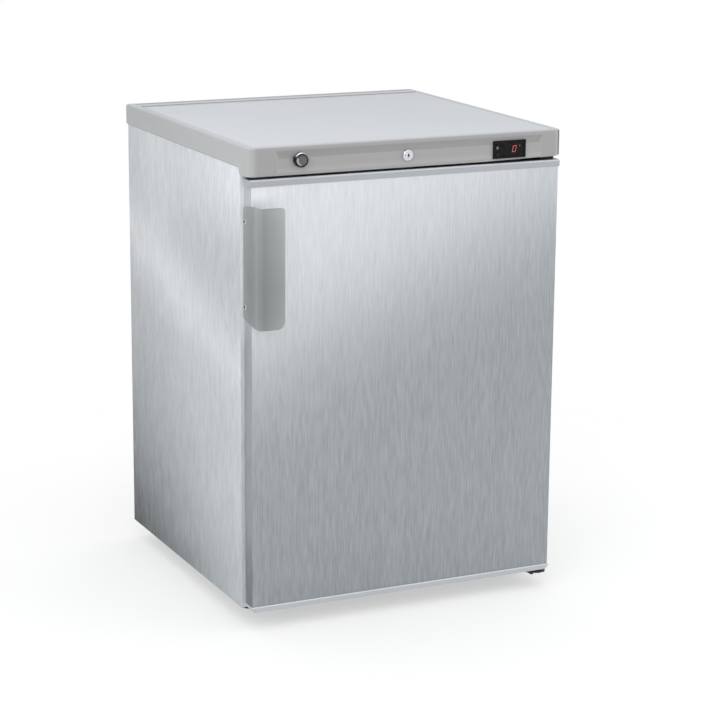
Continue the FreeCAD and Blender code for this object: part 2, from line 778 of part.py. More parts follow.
head_radius = 6.4
grouped_node("hinge_pins", [
    fuse("hinge_pin_low", [rod(pin_radius, 16, hinge_x, hinge_y, 27.5),
                           rod(head_radius, 2.9, hinge_x, hinge_y, 25)]),
    fuse("hinge_pin_high", [rod(pin_radius, 15, hinge_x, hinge_y, 786),
                            rod(head_radius, 2, hinge_x, hinge_y, 800.7)])])
grouped_node("hinge_screws", [
    fuse(unique("hinge_screw"), [cone(2.2, 4, 1.8, x, bracket_y - 4.4, z, BACK),
                                 rod(2.1, 2.6, x, bracket_y - 2.65, z, BACK)])
    for z in (LOW_SCREW_Z, HIGH_SCREW_Z) for x in HINGE_SCREW_X])
grouped_node("hinge_bushes", [
    less(unique("bush"), rod(bush_radius, high - low, hinge_x, hinge_y, low),
         rod(pin_radius + 0.06, high - low + 2, hinge_x, hinge_y, low - 1))
    for low, high in ((trim_low + 0.2, door_low - 0.6), (door_high + 0.6, trim_high - 0.2))])

# ==== door ================================================================
# Steel skin, folded in behind both side edges.
fold_x = door_half - 12
fold_y = door_back - sheet_thick
skin_y = door_front + sheet_thick
skin = Piece("door_skin")
skin.pad("XY", door_low, door_high, [
    (-door_half, door_front), (door_half, door_front), (door_half, door_back),
    (fold_x, door_back), (fold_x, fold_y), (door_inner, fold_y), (door_inner, skin_y),
    (-door_inner, skin_y), (-door_inner, fold_y), (-fold_x, fold_y), (-fold_x, door_back),
    (-door_half, door_back)])
skin.dress("Fillet", 1.2, lambda e: along(e, "z") and at(e, y=door_front.value))

door_foam = Piece("door_foam")
door_foam.pad("XY", door_low + 0.3, door_high - 0.3,
              wide(door_inner - 0.2, skin_y + 0.2, door_back - 2.3))

# Inner sheet of the door with a raised rim.
door_liner = Piece("door_liner")
door_liner.pad("XZ", door_back - 2, door_back - 0.2,
               wide(door_half - 12.3, door_low + 1, door_high - 1))
door_liner.pad("XZ", door_back - 0.2, door_back + 18, *frame(240, 95, 745, 18))
door_liner.dress("Fillet", 5, lambda e: at(e, y=door_back.value + 18))

gasket = Piece("door_gasket")
gasket.pad("XZ", door_back + 0.2, cab_front - 0.2, *frame(gasket_half, 54, 782, gasket_width))
gasket.dress("Fillet", 2, lambda e: at(e, y=cab_front.value - 0.2))

# Top trim with the slot for the lock cam and the upper bush hole.
trim = Piece("door_trim_top")
trim.pad("XY", door_high + 0.2, trim_high, wide(trim_half, trim_front, trim_back))
trim.dress("Fillet", 3, lambda e: along(e, "z") and at(e, y=trim_front.value))
trim.dress("Fillet", 3, lambda e: at(e, z=trim_high.value)
           and min(point.y for point in ends(e)) < trim_back.value - 5)
trim.pocket("XY", trim_high - 9.5, trim_high + 1, rect(lock_x - 12, -264, lock_x + 26, -255))
trim.pocket("XY", door_high - 1, trim_high + 1, ring(hinge_x, hinge_y, bush_radius + 0.05))

# Bottom trim with bevelled lower corners.
trim = Piece("door_trim_bottom")
trim.pad("XY", trim_low, door_low - 0.2, wide(trim_half, trim_front, trim_back))
trim.dress("Chamfer", 6, lambda e: along(e, "y") and at(e, z=trim_low.value)
           and at_side(e, trim_half, 1e-3))
trim.dress("Fillet", 3, lambda e: at(e, y=trim_front.value)
           and min(abs(point.x) for point in ends(e)) > trim_half.value - 6.1
           and e.Length < 20)
trim.dress("Chamfer", 1.5, lambda e: at(e, y=trim_front.value, z=door_low.value - 0.2))
trim.pocket("XY", trim_low - 1, door_low + 1, ring(hinge_x, hinge_y, bush_radius + 0.05))

# Angled handle: side flange, folded front grip.
grip_bend = 8
handle_screw_y = -259
HANDLE_SCREW_Z = (724, 577)
bend_x = grip_left + grip_bend
bend_y = grip_front + grip_bend
handle = Piece("door_handle")
handle.pad("XY", grip_low, grip_high, [
    (bend_x, grip_front), (grip_right, grip_front), (grip_right, grip_front + grip_wall),
    (bend_x, grip_front + grip_wall, (bend_x, bend_y, grip_bend - grip_wall, False)),
    (grip_left + grip_wall, bend_y), (grip_left + grip_wall, door_back - 0.5),
    (grip_left, door_back - 0.5), (grip_left, bend_y, (bend_x, bend_y, grip_bend, True))])
handle.dress("Fillet", 6.5,
             lambda e: along(e, "y") and at(e, x=grip_right.value, z=grip_high.value))
handle.dress("Fillet", 14,
             lambda e: along(e, "y") and at(e, x=grip_right.value, z=grip_low.value))
# The side flange tapers towards the door at both ends.
handle.pocket("YZ", -300, -290,
              [(-310, grip_low - 2), (door_back + 1, grip_low - 2),
               (door_back + 1, grip_low + 8), (-300, grip_low)],
              [(-310, grip_high + 2), (-300, grip_high), (door_back + 1, grip_high - 8),
               (door_back + 1, grip_high + 2)])
handle.pocket("YZ", -300, -290, *[ring(handle_screw_y, z, 2.6) for z in HANDLE_SCREW_Z])

# Section of a handle screw: (x, radius)
SCREW_OUTLINE = [
    (-294.4, 0), (-294.4, 2.3), (-297.3, 2.3), (-297.3, 5.2), (-298.2, 4.8), (-299.1, 3.4),
    (-299.6, 1.6), (-299.7, 0)]


def handle_screw(z):
    """A domed screw along X with a slot across its head."""
    screw = Piece("handle_screw_%d" % z, exported=False)
    sketch = screw.sketch("XY", y=handle_screw_y, z=z)
    draw(sketch, [SCREW_OUTLINE])
    feature = screw.body.newObject("PartDesign::Revolution", "turn_" + str(z))
    feature.Profile = sketch
    feature.ReferenceAxis = (sketch, ["H_Axis"])
    feature.Angle = 360
    doc.recompute()
    screw.pocket("YZ", -300, -298.6,
                 rect(handle_screw_y - 2.4, z - 0.4, handle_screw_y + 2.4, z + 0.4))
    return screw.body


grouped_node("handle_screws", [handle_screw(z) for z in HANDLE_SCREW_Z])


# ==== interior ============================================================
def shelf(label, level):
    """Rod frame with ball corners, two cross rods underneath and 24 wires front to rear."""
    z = level + rod_radius + 0.1
    x, front, rear = dim(250), dim(-208), dim(140)
    run = rear - front
    rods = [rod(rod_radius, run, side * x, front, z, BACK) for side in SIDES]
    rods += [rod(rod_radius, 2 * x, -x, y, z, RIGHT) for y in (front, rear)]
    rods += [rod(rod_radius, 488, -244, y, z - 2.5, RIGHT) for y in (-92, 24)]
    rods += [rod(wire_radius, run, -230 + 20 * i, front, z, BACK) for i in range(24)]
    for side in SIDES:
        for y in (front, rear):
            rods.append(place_at(solid("Sphere", "bend", Radius=rod_radius), side * x, y, z))
    fused_node(label, rods)


shelf("shelf_upper", shelf_high)
shelf("shelf_middle", shelf_middle)
shelf("shelf_lower", shelf_low)

fused_node("temperature_probe", [rod(3, 42, -251.8, 60, 560, BACK),
                                 cone(3, 1.2, 3, -251.8, 102, 560, BACK)])

# Roll-bond evaporator plate with its raised channel.
plate = block(-215, 196.5, 420, 215, 198, 745)
channel = swept("evaporator_channel",
                serpentine(200, -200, 194.6, [435 + 42 * i for i in range(8)]),
                radius=3.2, bend=15)
fused_node("evaporator", [plate, channel])
grouped_node("evaporator_standoffs", [rod(6, 6.6, side * 205, 198.2, z, BACK)
                                      for side in SIDES for z in (470, 700)])

# Circulation fan under the cavity ceiling: square shroud, cross arms, motor seat, two hangers.
fan = Piece("fan_housing")
fan.pad("XZ", 150, 175, wide(60, fan_z - 60, fan_z + 60), ring(0, fan_z, 56))
fan.pad("XZ", 171, 174, wide(58, fan_z - 3, fan_z + 3))
fan.pad("XZ", 171, 174, wide(3, fan_z - 58, fan_z + 58))
fan.pad("XZ", 171, 174.5, ring(0, fan_z, 19))
hanger_top = cav_high - 0.3
for low, front in ((fan_z + 59, 150), (cav_high - 2.3, 136)):
    fan.pad("XY", low, hanger_top, *[rect(left, front, left + 14, 153) for left in (-52, 38)])
grouped_node("fan_motor", [fuse("motor", [rod(18, 14, 0, 156.8, fan_z, BACK),
                                          rod(2, 6, 0, 152.2, fan_z, BACK)])])

# Cup-shaped hub with pitched blades.
blade_count = 7
hub = less("fan_hub", rod(22, 17, 0, 152, fan_z, BACK), rod(19, 20, 0, 154.5, fan_z, BACK))
rotor = [less("fan_cup", hub, rod(2.06, 5, 0, 150, fan_z, BACK))]
blade_offset = Placement(Vector(19.9, -8.5, -0.8), Rotation())
blade_pitch = Placement(Vector(0, 0, 0), Rotation(Vector(1, 0, 0), 38))
for i in range(blade_count):
    blade = solid("Box", "blade", Length=33, Width=17, Height=1.6)
    spin = Placement(Vector(0, 160.5, fan_z.value),
                     Rotation(Vector(0, 1, 0), i * 360.0 / blade_count))
    blade.Placement = spin.multiply(blade_pitch).multiply(blade_offset)
    rotor.append(blade)
fused_node("fan_blade", rotor)

# Wire guard: hoops, spokes across them and four short legs.
guard_y = 146.5
guard_wire = 1.1
leg_offset = 42.4
guard = [place_at(solid("Torus", "hoop", Radius1=radius, Radius2=guard_wire),
                  0, guard_y, fan_z, BACK) for radius in (12, 24, 36, 48, 56)]
for i in range(4):
    spoke = solid("Cylinder", "spoke", Radius=guard_wire, Height=120)
    spin = Placement(Vector(0, guard_y, fan_z.value), Rotation(Vector(0, 1, 0), 45 * i))
    spoke.Placement = spin.multiply(Placement(Vector(0, 0, -60), Rotation()))
    guard.append(spoke)
guard += [rod(1.6, 4, leg_offset * x_side, 145.8, fan_z + leg_offset * z_side, BACK)
          for x_side in SIDES for z_side in SIDES]
fused_node("fan_guard", guard)

# ==== refrigeration circuit ===============================================
# Domed compressor shell with a seam bead, on its mounting plate.
comp = Piece("compressor")
comp.turn("Z", 0, comp_y, [
    (0, 50), (46, 50, (46, 66, 16, True)), (comp_radius, 66), (comp_radius, 108),
    (comp_radius + 2.5, 108), (comp_radius + 2.5, 112), (comp_radius, 112),
    (comp_radius, 150, (22, 150, 40, True)), (22, 190), (0, 190)])
comp.pad("XY", 46, 50.5, wide(90, comp_y - 60, comp_y + 60))
grouped_node("compressor_grommets", [rod(10, 10.2, x_side * 76, comp_y + y_side * 47, 35.6)
                                     for x_side in SIDES for y_side in SIDES])
cover_right = 104
cover = Piece("compressor_terminal_cover")
cover.pad("XY", 84, 150, rect(66, comp_y - 26, cover_right, comp_y + 26))
cover.dress("Fillet", 5, lambda e: along(e, "z") and at(e, x=cover_right))
tray = Piece("condensate_tray")
tray.pad("XY", 191, 214, wide(72, 158, 264))
tray.pocket("XY", 193, 216, wide(70, 160, 262))
hose = Piece("drain_hose")
hose.turn("Z", 0, drain_y, [
    (5.5, 200), (7.4, 200), (7.4, step_z + 0.3), (12, step_z + 0.3), (12, step_z + 2),
    (5.5, step_z + 2)])

# Wire-on-tube condenser, with the hot-gas line that feeds it.
drier_x = 110
coil_rows = [770 - 30 * i for i in range(16)]
hot_gas = [(-35, 265.1, 130), (-35, coil_y, 130), (-250, coil_y, 130),
           (-250, coil_y, coil_rows[0])]
nodes["condenser_tube"] = swept(
    "condenser_tube",
    hot_gas + serpentine(-215, 160, coil_y, coil_rows)[1:-1]
    + [(drier_x, coil_y, coil_rows[-1]), (drier_x, coil_y, 224)],
    tube_radius, bend=14.8)
grouped_node("condenser_wires", [rod(0.8, 470, -205 + 13.0 * i, coil_y + side * 3.3, 310)
                                 for i in range(28) for side in SIDES])
drier = Piece("filter_drier")
drier.turn("Z", drier_x, coil_y, [
    (0, 146), (3, 146), (9, 156), (9, 210), (3.2, 220), (3.2, 223.6), (0, 223.6)])
nodes["suction_line"] = swept("suction_line", [
    (suction_x, 198.3, pipe_z), (suction_x, coil_y, pipe_z), (suction_x, coil_y, 120),
    (35, coil_y, 120), (35, 266.1, 120)], radius=4, bend=14)
nodes["capillary_tube"] = swept("capillary_tube", [
    (drier_x, coil_y, 145.6), (drier_x, coil_y, 132), (capillary_x, coil_y, 132),
    (capillary_x, coil_y, pipe_z), (capillary_x, 198.3, pipe_z)], radius=1.3, bend=8)

# Mains cord with its moulded plug, laid in the machine compartment.
plug_y, plug_z = 298, 100
cord = swept("cord_run", [
    (104.5, 200, 100), (150, 200, 100), (150, 200, 68), (250, 200, 68), (250, plug_y, 68),
    (-230, plug_y, 68), (-230, plug_y, plug_z), (-170, plug_y, plug_z)], radius=3.6, bend=12)
fused_node("power_cord", [
    cord, block(-175, plug_y - 12, plug_z - 12, -130, plug_y + 10, plug_z + 12),
    cone(7, 4, 14, -175, plug_y, plug_z, LEFT),
    rod(2.4, 19, -131, plug_y, plug_z - 7, RIGHT), rod(2.4, 19, -131, plug_y, plug_z + 7, RIGHT)])

# ==== feet ================================================================
# Turned feet with a threaded stud and two flats on the neck.
for label, (x, y) in FEET.items():
    foot = Piece(label)
    foot.turn("Z", x, y, [
        (0, 0), (foot_radius - 1.5, 0), (foot_radius, 1.5), (foot_radius, 7),
        (foot_radius - 5, 12), (9, 13), (9, 19), (stud_radius, 19), (stud_radius, 58), (0, 58)])
    foot.pocket("XY", 13, 19, rect(x - 10, y - 10, x + 10, y - 7.6),
                rect(x - 10, y + 7.6, x + 10, y + 10))

sockets = []
for x, y in FEET.values():
    outer = fuse(unique("socket"), [rod(9, 18, x, y, 35.5), rod(12, 2, x, y, 35.5)])
    sockets.append(less(unique("threaded_socket"), outer, rod(stud_radius + 0.06, 30, x, y, 30)))
grouped_node("foot_bushes", sockets)

# ==== check and write =====================================================
doc.recompute()
bad = [obj.Label + " " + str(obj.State) for obj in doc.Objects
       if "Invalid" in obj.State or "Error" in obj.State]
for label, node in sorted(nodes.items()):
    shape = node.Shape
    if shape.isNull() or not shape.isValid() or not shape.Solids:
        bad.append(label + " has a bad shape")
if bad:
    raise RuntimeError("; ".join(bad))
for label, node in sorted(nodes.items()):
    node.Shape.exportStep("parts/" + label + ".step")
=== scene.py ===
"""Undercounter steel cabinet with a glazed door, handle, worktop and controller.

Metres, +Z up, floor at z = 0. The front looks to -Y, and -X is on the left seen from the front.
The CAD pieces get procedural materials; a lit readout, floor, world, lights and camera are added.
"""
import bpy, json, math
from mathutils import Vector, Matrix


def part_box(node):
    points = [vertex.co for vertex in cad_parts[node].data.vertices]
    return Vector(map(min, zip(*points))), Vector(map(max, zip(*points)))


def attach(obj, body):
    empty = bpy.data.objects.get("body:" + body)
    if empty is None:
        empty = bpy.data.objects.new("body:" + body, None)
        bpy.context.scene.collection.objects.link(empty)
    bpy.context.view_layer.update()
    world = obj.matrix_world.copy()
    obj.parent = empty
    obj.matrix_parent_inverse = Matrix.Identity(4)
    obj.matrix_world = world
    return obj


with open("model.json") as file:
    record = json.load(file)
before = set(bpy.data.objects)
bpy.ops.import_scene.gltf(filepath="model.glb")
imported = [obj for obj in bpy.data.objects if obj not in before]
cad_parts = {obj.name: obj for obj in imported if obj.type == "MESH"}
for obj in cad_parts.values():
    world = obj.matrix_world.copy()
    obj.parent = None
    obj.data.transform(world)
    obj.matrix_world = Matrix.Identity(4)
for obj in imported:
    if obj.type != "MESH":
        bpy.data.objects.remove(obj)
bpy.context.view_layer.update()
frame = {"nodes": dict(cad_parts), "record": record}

scene = bpy.context.scene
X, Y, Z = range(3)


# ---------------------------------------------------------------- node graphs
class Signal:
    """A node output; arithmetic on it adds Math nodes to its graph."""

    def __init__(self, graph, socket):
        self.graph = graph
        self.socket = socket

    def math(self, operation, *others):
        return self.graph.math(operation, self, *others)

    def __add__(self, other):
        return self.math("ADD", other)

    def __radd__(self, other):
        return self.graph.math("ADD", other, self)

    def __sub__(self, other):
        return self.math("SUBTRACT", other)

    def __rsub__(self, other):
        return self.graph.math("SUBTRACT", other, self)

    def __mul__(self, other):
        return self.math("MULTIPLY", other)

    def __rmul__(self, other):
        return self.graph.math("MULTIPLY", other, self)

    def __truediv__(self, other):
        return self.math("DIVIDE", other)

    def __pow__(self, other):
        return self.math("POWER", other)

    def __rpow__(self, other):
        return self.graph.math("POWER", other, self)

    def __abs__(self):
        return self.math("ABSOLUTE")

    def at_least(self, other):
        return self.math("MAXIMUM", other)

    def remap(self, source, target=(0, 1), clamp=True, **settings):
        """Carry the source range over to the target range, in a straight line."""
        inputs = {
            "Value": self,
            "From Min": source[0],
            "From Max": source[1],
            "To Min": target[0],
            "To Max": target[1],
        }
        return self.graph.value("MapRange", inputs, clamp=clamp, **settings)

    def ease(self, source, target=(0, 1)):
        """Like remap, with soft ends."""
        return self.remap(source, target, interpolation_type="SMOOTHSTEP")

    def ramp(self, source, stops):
        """Lines through (position, value) stops; position 0..1 spans the source range."""
        node = self.graph.node("ValToRGB", {0: self.remap(source)})
        elements = node.color_ramp.elements
        while len(elements) > 1:
            elements.remove(elements[-1])
        for i, (position, value) in enumerate(stops):
            element = elements.new(position) if i else elements[0]
            element.position = position
            element.color = (value if isinstance(value, tuple) else (value,) * 3) + (1,)
        return Signal(self.graph, node.outputs[0])


class Graph:
    """A shader node tree, started empty."""

    def __init__(self, tree):
        self.tree = tree
        tree.nodes.clear()

    def node(self, kind, inputs=None, **settings):
        """Add a node; inputs maps socket names or numbers to signals or constants."""
        node = self.tree.nodes.new("ShaderNode" + kind)
        for name, value in settings.items():
            setattr(node, name, value)
        for key, value in (inputs or {}).items():
            if isinstance(value, Signal):
                self.tree.links.new(value.socket, node.inputs[key])
            else:
                node.inputs[key].default_value = value
        return node

    def value(self, kind, inputs=None, output=0, **settings):
        return Signal(self, self.node(kind, inputs, **settings).outputs[output])

    def math(self, operation, *operands):
        return self.value("Math", dict(enumerate(operands)), operation=operation)

    def mix_shader(self, factor, first, second):
        return self.value("MixShader", {0: factor, 1: first, 2: second})

    def camera_ray(self):
        return self.value("LightPath", output="Is Camera Ray")


MATERIALS = {}


class Mat(Graph):
    """A procedural material in object coordinates."""

    def __init__(self, name):
        self.name = name
        self.material = bpy.data.materials.new(name)
        self.material.use_nodes = True
        super().__init__(self.material.node_tree)
        self.place = self.value("TexCoord", output="Object")

    def finish(self, shader):
        self.node("OutputMaterial", {0: shader})
        MATERIALS[self.name] = self.material
        return self.material

    def finish_principled(self, inputs):
        return self.finish(self.value("BsdfPrincipled", inputs))

    def coords(self, stretch=(1, 1, 1)):
        return self.value("Mapping", {"Scale": stretch, "Vector": self.place})

    def noise(self, scale, detail, rough=0.55, stretch=(1, 1, 1)):
        inputs = {
            "Scale": scale,
            "Detail": detail,
            "Roughness": rough,
            "Vector": self.coords(stretch),
        }
        return self.value("TexNoise", inputs, "Fac")

    def cells(self, scale, output):
        return self.value("TexVoronoi", {"Scale": scale, "Vector": self.coords()}, output)

    def mix(self, factor, first, second):
        return self.value("Mix", {0: factor, 6: first, 7: second}, 2, data_type="RGBA")

    def scale_color(self, color, factor):
        color = color[:3] if isinstance(color, tuple) else color
        return self.value("VectorMath", {0: color, "Scale": factor}, operation="SCALE")

    def relief(self, height, strength, distance, bevel=0.0):
        """Surface normal with a bump over softened edges."""
        inputs = {"Strength": strength, "Distance": distance, "Height": height}
        if bevel:
            inputs["Normal"] = self.value("Bevel", {"Radius": bevel}, samples=4)
        return self.value("Bump", inputs)

    def split(self, vector):
        node = self.node("SeparateXYZ", {0: vector})
        return [Signal(self, socket) for socket in node.outputs]

    def position(self):
        return self.split(self.place)

    def normals(self):
        return self.split(self.value("NewGeometry", output="Normal"))

    def facing(self, axis):
        """1 where the surface looks to the negative end of an axis, 0 elsewhere."""
        return (self.normals()[axis] * -1).ease((0.35, 0.75))


def linear(level):
    """One sRGB channel, 0..255, to linear."""
    level = level / 255.0
    return level / 12.92 if level <= 0.04045 else ((level + 0.055) / 1.055) ** 2.4


def rgb(red, green, blue):
    return (linear(red), linear(green), linear(blue), 1.0)


def around(middle, swing):
    return middle - swing, middle + swing


def blend(factor, first, second):
    """first where factor is 0, second where it is 1, for plain numbers."""
    return first * (1.0 - factor) + second * factor


def bell(square):
    """Bell curve of a squared distance."""
    return 2.71828 ** (square * -1.0)


# ---------------------------------------------------------------- material kinds
# The parts of a noise's range that are spread over a full swing.
NARROW = (0.3, 0.7)
WIDE = (0.25, 0.75)


def plastic(name, color, rough=0.45, grain=900.0, grain_depth=0.00003, mottled=0.04,
            spec=0.5, bevel=0.0008, coat=0.0, light_paint=None, tint=None):
    """Moulded plastic: slow colour drift, uneven gloss and a fine moulded grain; given functions
    multiply painted light and shade into the colour and mix in a painted tint.
    """
    mat = Mat(name)
    slow = mat.noise(scale=5.0, detail=2.0)
    middle = mat.noise(scale=60.0, detail=4.0)
    shade = slow.remap(NARROW, around(1, mottled))
    shade = shade + middle.remap(NARROW, around(0, mottled * 0.35))
    if light_paint:
        shade = shade * light_paint(mat)
    if tint:
        factor, second = tint(mat)
        color = mat.mix(factor, color, second)
    mat.finish_principled({
        "Base Color": mat.scale_color(color, shade),
        "Roughness": middle.remap(WIDE, (rough - 0.06, rough + 0.08)),
        "Specular IOR Level": spec,
        "Coat Weight": coat,
        "Coat Roughness": 0.15,
        "Normal": mat.relief(mat.noise(scale=grain, detail=2.0), strength=0.35,
                             distance=grain_depth, bevel=bevel),
    })


def steel(name, brightness, matt, streak, pitch, reach, glow=None):
    """Brushed stainless sheet: short upright streaks over a base brightness of painted light and
    shade.

    streak is their contrast, pitch their closeness, reach their stretch factor along Z.
    matt gives the share of metallic look taken away, glow a faint emission as painted light.
    """
    mat = Mat(name)
    rough = 0.42
    fine = mat.noise(scale=pitch * 3.7, detail=2.0, rough=0.6, stretch=(1, 1, reach * 0.35))
    middle = mat.noise(scale=pitch, detail=1.5, stretch=(1, 1, reach))
    coarse = mat.noise(scale=pitch * 0.3, detail=2.0, rough=0.5, stretch=(1, 1, reach * 0.6))
    streaks = (fine.remap((0.2, 0.8), around(0, streak * 0.7), clamp=False)
               + middle.remap(WIDE, around(0, streak), clamp=False)
               + coarse.remap(WIDE, around(0, streak * 0.22), clamp=False))
    shade = (brightness(mat) + streaks).at_least(0.02)
    # Darker places are bluer than light ones.
    tone = mat.mix(shade.remap((0.33, 0.72)), (0.925, 0.99, 1.035, 1), (0.95, 0.985, 1.012, 1))
    inputs = {
        "Base Color": mat.scale_color(tone, shade),
        "Metallic": (1.0 - matt(mat)) * 0.85,
        "Roughness": middle.remap(WIDE, (rough - 0.05, rough + 0.07)),
        "Anisotropic": 0.55,
        "Tangent": mat.value("Tangent", direction_type="RADIAL", axis="Z"),
        "Normal": mat.relief(fine, strength=0.25, distance=0.00004, bevel=0.0006),
    }
    if glow:
        inputs["Emission Color"] = (0.9, 0.95, 1.0, 1)
        inputs["Emission Strength"] = glow(mat)
    mat.finish_principled(inputs)


def metal(name, color, rough, scratch=0.02, stretch=(1, 1, 1), spangle=0.0, light_paint=None):
    """Plated, drawn or rolled metal with worn gloss and faint marks; a given shading function
    multiplies painted light and shade into the colour.
    """
    mat = Mat(name)
    slow = mat.noise(scale=40.0, detail=4.0, rough=0.6, stretch=stretch)
    fine = mat.noise(scale=900.0, detail=3.0, rough=0.6, stretch=stretch)
    shade = slow.remap(NARROW, around(1, scratch)) + fine.remap(NARROW, around(0, scratch))
    if spangle:
        cell = mat.value("SeparateColor", {0: mat.cells(scale=70.0, output="Color")})
        shade = shade * cell.remap((0, 1), around(1, spangle))
    if light_paint:
        shade = shade * light_paint(mat)
    mat.finish_principled({
        "Base Color": mat.scale_color(color, shade),
        "Metallic": 1.0,
        "Roughness": slow.remap(WIDE, (max(0.04, rough - 0.08), rough + 0.1)),
        "Normal": mat.relief(fine, strength=0.2, distance=0.00003, bevel=0.0004),
    })


def enamel(name, color, rough, peel=0.00006, dust=0.0):
    """Painted metal: orange peel, uneven gloss, a little dust on upward faces."""
    mat = Mat(name)
    slow = mat.noise(scale=25.0, detail=4.0)
    orange_peel = mat.noise(scale=420.0, detail=2.0)
    color = mat.scale_color(color, slow.remap(NARROW, (0.9, 1.1)))
    if dust:
        upward = mat.normals()[Z].remap((0.3, 1.0), (0.0, dust))
        cover = upward * slow.remap((0.35, 0.65), (0.3, 1.0))
        color = mat.mix(cover, color, (0.28, 0.26, 0.23, 1))
    mat.finish_principled({
        "Base Color": color,
        "Roughness": slow.remap(WIDE, (rough - 0.08, rough + 0.12)),
        "Specular IOR Level": 0.5,
        "Normal": mat.relief(orange_peel, strength=0.4, distance=peel, bevel=0.0005),
    })


def rubber(name, color, rough=0.7):
    mat = Mat(name)
    slow = mat.noise(scale=30.0, detail=4.0)
    fine = mat.noise(scale=1400.0, detail=2.0)
    mat.finish_principled({
        "Base Color": mat.scale_color(color, slow.remap(NARROW, (0.88, 1.12))),
        "Roughness": slow.remap(NARROW, (rough - 0.08, rough + 0.1)),
        "Specular IOR Level": 0.35,
        "Normal": mat.relief(fine, strength=0.5, distance=0.00004, bevel=0.0005),
    })


def foam(name):
    """Blotchy yellow foam with open cells."""
    mat = Mat(name)
    cells = mat.cells(scale=420.0, output="Distance")
    blotches = mat.noise(scale=18.0, detail=5.0).remap(NARROW)
    color = mat.mix(blotches, rgb(214, 190, 138), rgb(232, 214, 168))
    mat.finish_principled({
        "Base Color": mat.scale_color(color, cells.remap((0.0, 0.8), (0.82, 1.06))),
        "Roughness": 0.9,
        "Normal": mat.relief(cells, strength=0.6, distance=0.0006),
    })


def smoked_window(name):
    """Mostly clear, dark tint, glossy face."""
    mat = Mat(name)
    density = mat.noise(scale=40.0, detail=2.0).remap(NARROW, (0.93, 1.0))
    clear = mat.value("BsdfTransparent", {0: mat.scale_color((0.5, 0.48, 0.48), density)})
    smear = mat.noise(scale=160.0, detail=4.0).remap(NARROW, (0.06, 0.16))
    gloss = mat.value("BsdfGlossy", {"Roughness": smear})
    mirror = mat.value("Fresnel", {"IOR": 1.46})
    mat.finish(mat.mix_shader(mirror * 0.5, clear, gloss))


def light_segment(name, color, power):
    mat = Mat(name)
    flicker = mat.noise(scale=2500.0, detail=2.0).remap(NARROW, (0.85, 1.1))
    inputs = {"Color": mat.scale_color(color, flicker), "Strength": power}
    return mat.finish(mat.value("Emission", inputs))


# ---------------------------------------------------------------- steel sheets
# Painted-light brightness tables: (height, sRGB level), from the bottom up.
# The door's front is read along a slanting axis, a painted reflection gradient bright at the
# upper left.
DOOR_LEAN = 0.42
DOOR = [(0.3, 161.0), (0.39, 162.7), (0.45, 166.8), (0.51, 175.1), (0.57, 187.3),
        (0.63, 201.3), (0.69, 213.0), (0.75, 221.1), (0.82, 226.8), (0.88, 228.4)]
# Painted shade on the door's folded side edges.
DOOR_EDGE = [(0.05, 131), (0.1, 133), (0.2, 157), (0.3, 157), (0.4, 164), (0.52, 165),
             (0.765, 193)]
# Painted light on the side sheets' front flange, at its outer and its inner edge.
EDGE_OUTER = [(0.05, 172), (0.3, 178), (0.4, 180), (0.5, 185), (0.6, 205), (0.7, 207),
              (0.78, 206)]
EDGE_INNER = [(0.05, 196), (0.3, 202), (0.4, 205), (0.5, 206), (0.6, 245), (0.7, 252),
              (0.78, 232)]
# Painted highlight on the door: x, z, its width, its height, strength.
SPOT_X, SPOT_Z, SPOT_WIDTH, SPOT_HEIGHT, SPOT_GAIN = -0.281, 0.764, 0.016, 0.014, 0.17

SIDE_BASE = 0.6163
# Painted shade darkening the lower rear: strength, power to the rear, height of its end, power
# downwards.
CORNER_DEPTH, CORNER_REAR, CORNER_TOP, CORNER_DOWN = 0.609, 0.8966, 1.4551, 3.8731
# Painted light in slanting bands: strength, height at y = 0, rise per metre to the rear, width.
SIDE_BAND = (0.1047, 0.5305, 0.2876, 0.0673)
SIDE_HAZE = (0.0938, 0.4541, 1.7345, 0.2521)
BAND_REAR_GAIN = 0.4518
# Painted glow of the upper front: strength, power towards the front, start and end height.
GLOW_GAIN, GLOW_FRONT, GLOW_HEIGHTS = 0.3019, 1.1638, (0.6232, 0.80)


def levels(height, table):
    """Linear brightness read from a table of sRGB levels."""
    low, high = table[0][0], table[-1][0]
    stops = [((place - low) / (high - low), linear(level)) for place, level in table]
    return height.ramp((low, high), stops)


def door_painted_light(mat):
    """Painted reflection gradient on the front of the door sheet with a painted highlight, and
    painted shade on the darker folded edge at its left.
    """
    x, y, z = mat.position()
    front = levels(z - x * DOOR_LEAN, DOOR)
    across = (x + -SPOT_X) / SPOT_WIDTH
    upward = (z - SPOT_Z) / SPOT_HEIGHT
    front = front * (1.0 + bell(across * across + upward * upward) * SPOT_GAIN)
    return blend(mat.facing(X), front, levels(z, DOOR_EDGE))


def door_matt(mat):
    """Matt patch at the left of the door, beside the handle."""
    x, y, z = mat.position()
    tall = z.ease((0.5, 0.55)) * z.ease((0.77, 0.79), (1, 0))
    return x.ease((-0.25, -0.22), (1, 0)) * tall * 0.75


def side_painted_light(mat):
    """Painted light on the side sheet: soft diagonal bands, a painted glow at the upper front,
    painted shade darkest at the lower rear, and the front flange painted lighter.
    """
    x, y, z = mat.position()
    rear = y.remap((-0.26, 0.32))

    def slanting_band(strength, middle, rise, width):
        offset = (z - (middle + y * rise)) / width
        return bell(offset * offset) * strength

    low = (1.0 - z / CORNER_TOP).at_least(0.0)
    base = SIDE_BASE - rear ** CORNER_REAR * low ** CORNER_DOWN * CORNER_DEPTH
    band = slanting_band(*SIDE_BAND) * (1.0 + rear * BAND_REAR_GAIN)
    top = z.ease(GLOW_HEIGHTS) * GLOW_GAIN * (1.0 - rear) ** GLOW_FRONT
    haze = slanting_band(*SIDE_HAZE) * rear
    sheet = (base + band) + (top + haze)
    outer = levels(z, EDGE_OUTER)
    inner = levels(z, EDGE_INNER)
    inward = abs(x).remap((0.2985, 0.2935))
    return blend(mat.facing(Y), sheet, blend(inward, outer, inner))


def side_matt(mat):
    return mat.facing(Y) * 0.8


